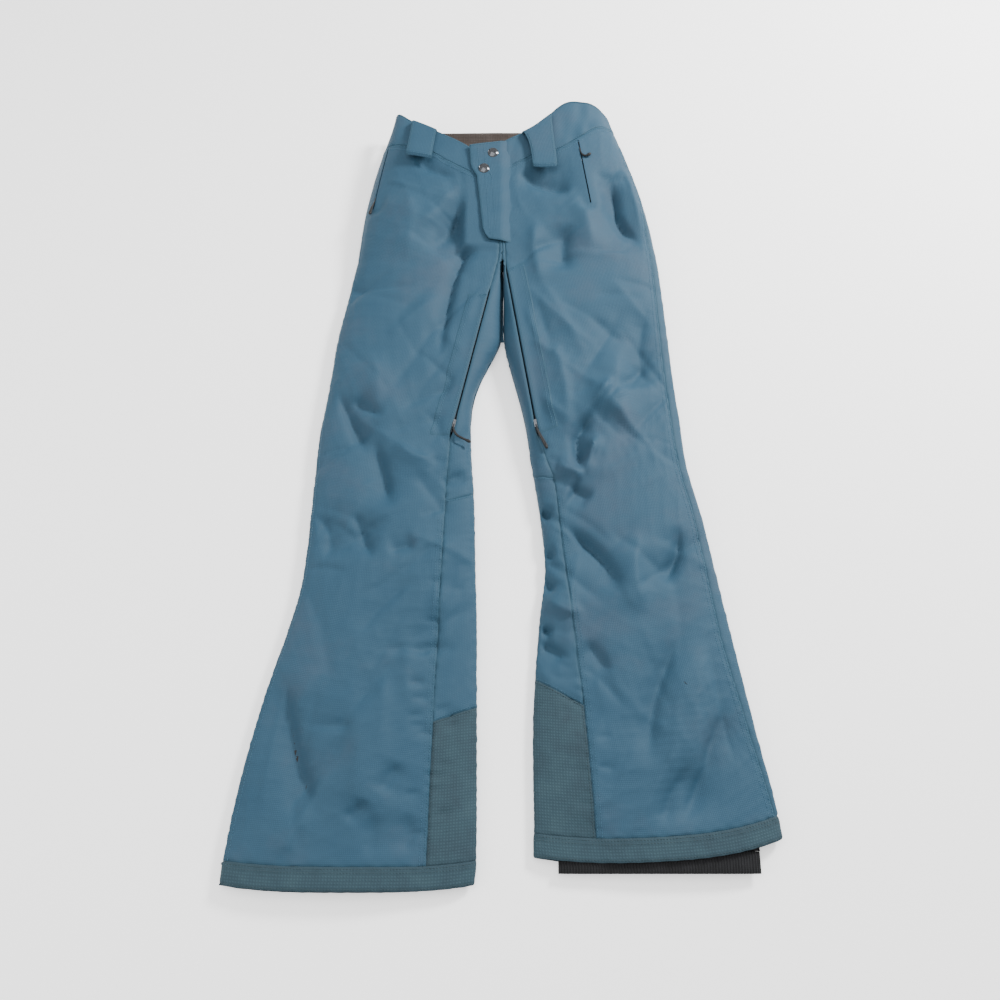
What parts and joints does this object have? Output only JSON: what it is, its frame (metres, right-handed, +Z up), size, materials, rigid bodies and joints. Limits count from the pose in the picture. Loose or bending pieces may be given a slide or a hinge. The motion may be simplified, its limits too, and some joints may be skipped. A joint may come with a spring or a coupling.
{
  "type": "ski pants",
  "caption": "Insulated ski pants lying flat, front up, with a snap fly flap, belt loops, zipped hand pockets, inner-thigh vents, kick patches and boot gaiters.",
  "frame": {"origin": "on the ground under the middle of the garment as it lies", "axes": "+Y towards the waist, +X towards the wearer's left, +Z up, out of the front of the pants"},
  "size_m": [0.5848, 1.0323, 0.0689],
  "materials": {
    "shell_fabric": "matt laminated nylon twill, blue-grey",
    "hem_fabric": "coarser, tougher nylon in a greyer teal",
    "brushed_lining": "brushed tricot, brown-grey",
    "gaiter_fabric": "plain black lining taffeta",
    "gripper_elastic": "ribbed black elastic",
    "mesh_lining": "black tricot and mesh",
    "zip_coil": "black nylon coil on woven tape",
    "slider_metal": "satin nickel",
    "snap_metal": "dark nickel, polished",
    "pull_cord": "black braided cord with a moulded end"
  },
  "bodies": {
    "root": {"front_panel_left": "shell_fabric", "front_panel_right": "shell_fabric", "back_panel_left": "shell_fabric", "back_panel_right": "shell_fabric", "inner_thigh_left": "shell_fabric", "inner_thigh_right": "shell_fabric", "inner_calf_left": "shell_fabric", "inner_calf_right": "shell_fabric", "kick_patch_left": "hem_fabric", "kick_patch_right": "hem_fabric", "hem_band_left": "hem_fabric", "hem_band_right": "hem_fabric", "crotch_gusset": "shell_fabric", "waistband_front_left": "shell_fabric", "waistband_front_right": "shell_fabric", "waistband_back": "shell_fabric", "waistband_lining": "brushed_lining", "belt_loop_front_left": "shell_fabric", "belt_loop_front_right": "shell_fabric", "belt_loops_back": "shell_fabric", "fly_zip": "zip_coil", "snap_studs": "snap_metal", "pocket_zip_left": "zip_coil", "pocket_zip_right": "zip_coil", "pocket_bag_left": "mesh_lining", "pocket_bag_right": "mesh_lining", "vent_flap_left": "shell_fabric", "vent_flap_right": "shell_fabric", "vent_zip_left": "zip_coil", "vent_zip_right": "zip_coil", "vent_mesh_left": "mesh_lining", "vent_mesh_right": "mesh_lining", "gaiter_left": "gaiter_fabric", "gaiter_right": "gaiter_fabric", "gaiter_gripper_left": "gripper_elastic", "gaiter_gripper_right": "gripper_elastic", "lace_hook_left": "snap_metal", "lace_hook_right": "snap_metal"},
    "fly_flap": {"fly_flap": "shell_fabric", "snap_caps": "snap_metal"},
    "fly_slider": {"fly_slider": "slider_metal"},
    "pocket_slider_left": {"pocket_slider_left": "slider_metal"},
    "pocket_pull_left": {"pocket_pull_left": "pull_cord"},
    "vent_slider_left": {"vent_slider_left": "slider_metal"},
    "vent_pull_left": {"vent_pull_left": "pull_cord"},
    "pocket_slider_right": {"pocket_slider_right": "slider_metal"},
    "pocket_pull_right": {"pocket_pull_right": "pull_cord"},
    "vent_slider_right": {"vent_slider_right": "slider_metal"},
    "vent_pull_right": {"vent_pull_right": "pull_cord"}
  },
  "joints": [
    {"name": "fly_flap_hinge", "type": "hinge", "parent": "root", "child": "fly_flap", "pos_m": [0.0021, 0.289, 0.042], "axis": [0, 0.9941, 0.1082], "range_deg": [0, 150]},
    {"name": "fly_slide", "type": "slide", "parent": "root", "child": "fly_slider", "axis": [0, 0.9941, 0.1082], "range_m": [-0.0655, 0]},
    {"name": "pocket_slide_left", "type": "slide", "parent": "root", "child": "pocket_slider_left", "axis": [-0.1447, 0.9837, 0.1064], "range_m": [-0.075, 0.0066]},
    {"name": "pocket_pull_hinge_left", "type": "hinge", "parent": "pocket_slider_left", "child": "pocket_pull_left", "pos_m": [0.10686, 0.4306, 0.05578], "axis": [-0.989, -0.1471, 0.0151], "range_deg": [0, 150]},
    {"name": "pocket_slide_right", "type": "slide", "parent": "root", "child": "pocket_slider_right", "axis": [0.1664, 0.9835, 0.0711], "range_m": [-0.005, 0.0766]},
    {"name": "pocket_pull_hinge_right", "type": "hinge", "parent": "pocket_slider_right", "child": "pocket_pull_right", "pos_m": [-0.17249, 0.36182, 0.03473], "axis": [-0.8314, 0.1787, -0.5262], "range_deg": [0, 150]},
    {"name": "vent_slide_left", "type": "slide", "parent": "root", "child": "vent_slider_left", "axis": [-0.1557, 0.9869, 0.0414], "range_m": [-0.001, 0.207]},
    {"name": "vent_pull_hinge_left", "type": "hinge", "parent": "vent_slider_left", "child": "vent_pull_left", "pos_m": [0.04082, 0.02186, 0.02657], "axis": [-0.9858, -0.1526, -0.0703], "range_deg": [0, 150]},
    {"name": "vent_slide_right", "type": "slide", "parent": "root", "child": "vent_slider_right", "axis": [0.2177, 0.9752, 0.0409], "range_m": [-0.001, 0.1739]},
    {"name": "vent_pull_hinge_right", "type": "hinge", "parent": "vent_slider_right", "child": "vent_pull_right", "pos_m": [-0.05955, 0.02177, 0.02656], "axis": [-0.9746, 0.215, 0.0621], "range_deg": [0, 150]}
  ]
}
